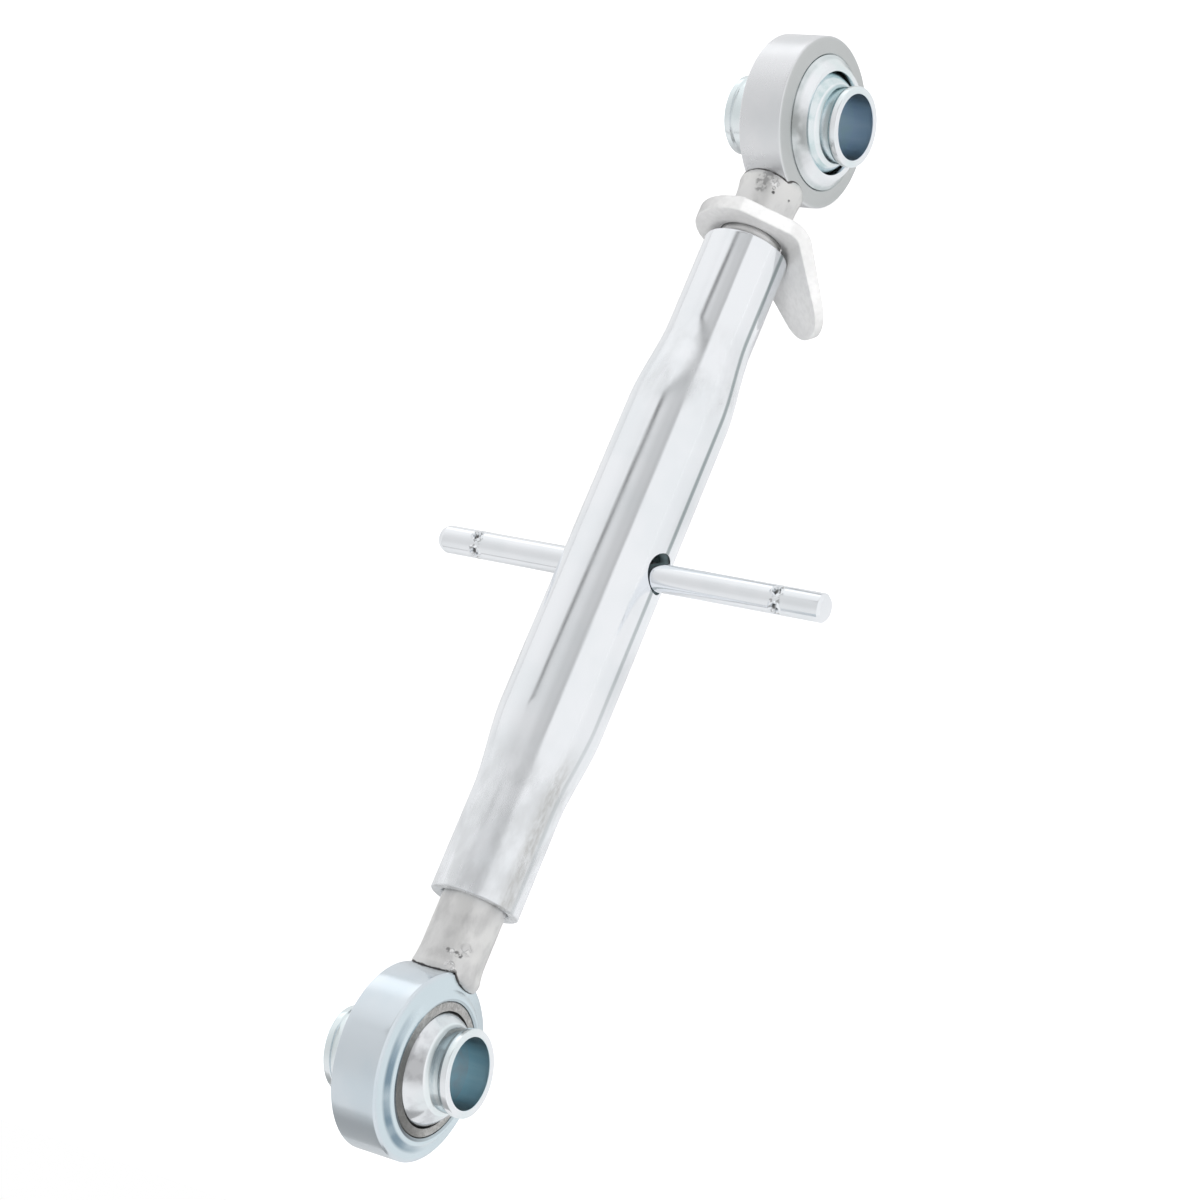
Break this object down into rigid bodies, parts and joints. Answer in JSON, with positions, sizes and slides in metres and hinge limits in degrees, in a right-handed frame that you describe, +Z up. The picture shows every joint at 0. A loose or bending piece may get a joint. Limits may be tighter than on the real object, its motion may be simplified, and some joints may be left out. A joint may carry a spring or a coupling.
{
  "type": "tractor top link",
  "caption": "Adjustable tractor top link: swaged turnbuckle tube with a cross bar, two screws ending in ball-joint eyes, and a lock nut with a lever.",
  "frame": {"origin": "middle of the footprint, on the surface that the link lies on", "axes": "+X along the link from the lower eye, which has the right-hand thread, to the upper eye; +Y along the pin bores, away from the picture's viewer; +Z up, out of the surface it lies on"},
  "size_m": [0.4676, 0.1691, 0.0682],
  "materials": {
    "tube_zinc": "bright zinc plating, smooth",
    "bar_zinc": "bright zinc plating, smooth",
    "nut_zinc": "zinc plating, satin",
    "upper_screw_zinc": "zinc plating over rough forged steel, matte",
    "upper_eye_zinc": "bright zinc plating over turned steel",
    "upper_race_front_zinc": "bright zinc plating, smooth",
    "upper_race_back_zinc": "bright zinc plating, smooth",
    "upper_ball_zinc": "bright zinc plating, polished",
    "lower_screw_zinc": "zinc plating over rough forged steel, matte",
    "lower_eye_zinc": "bluish zinc plating, smooth",
    "lower_race_front_steel": "bare grey steel, matte",
    "lower_race_back_steel": "bare grey steel, matte",
    "lower_ball_zinc": "bright zinc plating, polished"
  },
  "bodies": {
    "upper_end": {"upper_screw": "upper_screw_zinc", "upper_eye": "upper_eye_zinc", "upper_race_front": "upper_race_front_zinc", "upper_race_back": "upper_race_back_zinc"},
    "nut": {"lock_nut": "nut_zinc"},
    "tube": {"centre_tube": "tube_zinc"},
    "bar": {"tommy_bar": "bar_zinc"},
    "lower_end": {"lower_screw": "lower_screw_zinc", "lower_eye": "lower_eye_zinc", "lower_race_front": "lower_race_front_steel", "lower_race_back": "lower_race_back_steel"},
    "upper_swivel": {"upper_ball": "upper_ball_zinc"},
    "lower_swivel": {"lower_ball": "lower_ball_zinc"}
  },
  "joints": [
    {"name": "nut_travel", "type": "slide", "parent": "upper_end", "child": "nut", "axis": [-1, 0, 0], "range_m": [0, 0.09]},
    {"name": "tube_turn", "type": "hinge", "parent": "nut", "child": "tube", "pos_m": [-0.00007, 0.006, 0.034], "axis": [1, 0, 0], "range_deg": [0, 10800]},
    {"name": "lower_travel", "type": "slide", "parent": "nut", "child": "lower_end", "axis": [-1, 0, 0], "range_m": [0, 0.09]},
    {"name": "bar_slide", "type": "slide", "parent": "tube", "child": "bar", "axis": [0, 0.9991, -0.042], "range_m": [-0.0375, 0.0485]},
    {"name": "upper_ball_swing", "type": "hinge", "parent": "upper_end", "child": "upper_swivel", "pos_m": [0.20022, 0.006, 0.034], "axis": [0, 0.0719, 0.9974], "range_deg": [-7.4, 12.5]},
    {"name": "lower_ball_swing", "type": "hinge", "parent": "lower_end", "child": "lower_swivel", "pos_m": [-0.19978, 0.006, 0.034], "axis": [0, 0, 1], "range_deg": [-18.4, 9.6]}
  ],
  "couplings": [
    {"joint": "nut_travel", "follows": "tube_turn", "m_per_rad": 0.00047746},
    {"joint": "lower_travel", "follows": "tube_turn", "m_per_rad": 0.00047746}
  ]
}
